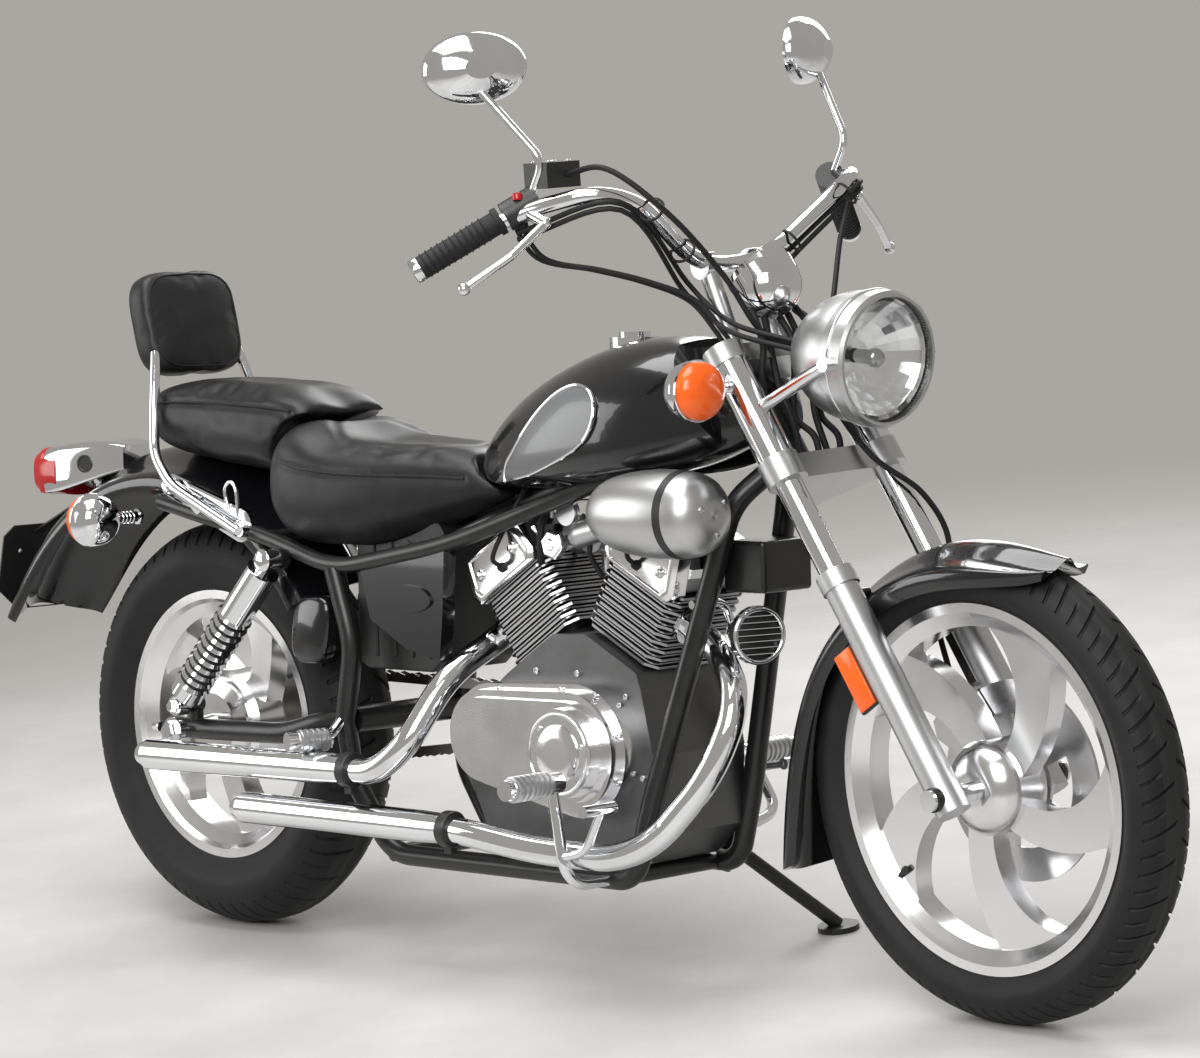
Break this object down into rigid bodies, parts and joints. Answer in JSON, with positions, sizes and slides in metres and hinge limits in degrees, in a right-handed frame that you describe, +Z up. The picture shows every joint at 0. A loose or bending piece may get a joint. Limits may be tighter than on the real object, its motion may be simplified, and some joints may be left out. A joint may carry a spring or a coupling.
{
  "type": "cruiser motorcycle",
  "caption": "Cruiser motorcycle with an air-cooled V-twin, cast wheels, pull-back bar, stepped seat and backrest, parked on its side stand.",
  "frame": {"origin": "on the floor, under the middle of the whole parked bike's bounding box", "axes": "+X to the bike's front, +Y to the rider's left, +Z up; the bike leans about 7.5 degrees to its left on the side stand"},
  "size_m": [2.2882, 0.829, 1.3337],
  "materials": {
    "chrome": "polished chrome",
    "alloy": "polished cast alloy",
    "case": "painted grey cast alloy",
    "fins": "satin black fins with bright edges",
    "black_paint": "gloss black paint",
    "silver_paint": "silver paint with a pale outline",
    "frame_black": "black enamel",
    "vinyl": "black vinyl",
    "grip_rubber": "black rubber",
    "tyre": "black tread rubber",
    "switch_plastic": "black switch housings",
    "disc_steel": "ground steel",
    "clear_lens": "clear glass",
    "red_lens": "red lens",
    "signal_lens": "chrome cup with an orange lens"
  },
  "bodies": {
    "chassis": {"frame": "frame_black", "swingarm": "frame_black", "rear_axle": "chrome", "rear_shocks": "chrome", "rear_brake_panel": "alloy", "crankcase": "case", "engine_side_covers": "alloy", "cylinders": "fins", "cylinder_head_covers": "chrome", "carburettor": "chrome", "air_cleaner": "chrome", "front_exhaust": "chrome", "rear_exhaust": "chrome", "fuel_tank": "black_paint", "tank_panels": "silver_paint", "filler_cap": "chrome", "rider_seat": "vinyl", "pillion_seat": "vinyl", "backrest_pad": "vinyl", "sissy_bar": "chrome", "side_covers": "black_paint", "rear_fender": "black_paint", "tail_lamp": "chrome", "tail_lens": "red_lens", "rear_turn_signals": "signal_lens", "plate_bracket": "frame_black", "horn": "chrome", "electrics_box": "frame_black", "footpegs": "chrome", "foot_controls": "chrome", "drive_chain": "disc_steel"},
    "steering": {"fork_sliders": "alloy", "fork_stanchions": "chrome", "triple_clamps": "chrome", "front_axle": "chrome", "front_fender": "black_paint", "headlamp_shell": "chrome", "headlamp_lens": "clear_lens", "front_turn_signals": "signal_lens", "handlebar": "chrome", "hand_grips": "grip_rubber", "bar_controls": "switch_plastic", "hand_levers": "alloy", "mirrors": "chrome", "speedometer": "chrome", "brake_caliper": "disc_steel"},
    "front_wheel": {"front_rim": "alloy", "front_tyre": "tyre", "brake_disc": "disc_steel"},
    "rear_wheel": {"rear_rim": "alloy", "rear_tyre": "tyre", "rear_sprocket": "disc_steel"},
    "side_stand": {"side_stand": "frame_black"}
  },
  "joints": [
    {"name": "steer", "type": "hinge", "parent": "chassis", "child": "steering", "pos_m": [0.52806, -0.05011, 0.66356], "axis": [-0.5402, 0.1098, 0.8343], "range_deg": [-30.3, 39.7]},
    {"name": "front_wheel_spin", "type": "hinge", "parent": "steering", "child": "front_wheel", "pos_m": [0.83685, -0.10245, 0.30706], "axis": [0.069, 0.9939, -0.0862], "continuous": true},
    {"name": "rear_wheel_spin", "type": "hinge", "parent": "chassis", "child": "rear_wheel", "pos_m": [-0.64796, -0.09718, 0.30599], "axis": [0, 0.9914, -0.1305], "continuous": true},
    {"name": "stand_fold", "type": "hinge", "parent": "chassis", "child": "side_stand", "pos_m": [0.24304, 0.01925, 0.14845], "axis": [0.043, 0.7645, 0.6432], "range_deg": [0, 107]}
  ]
}
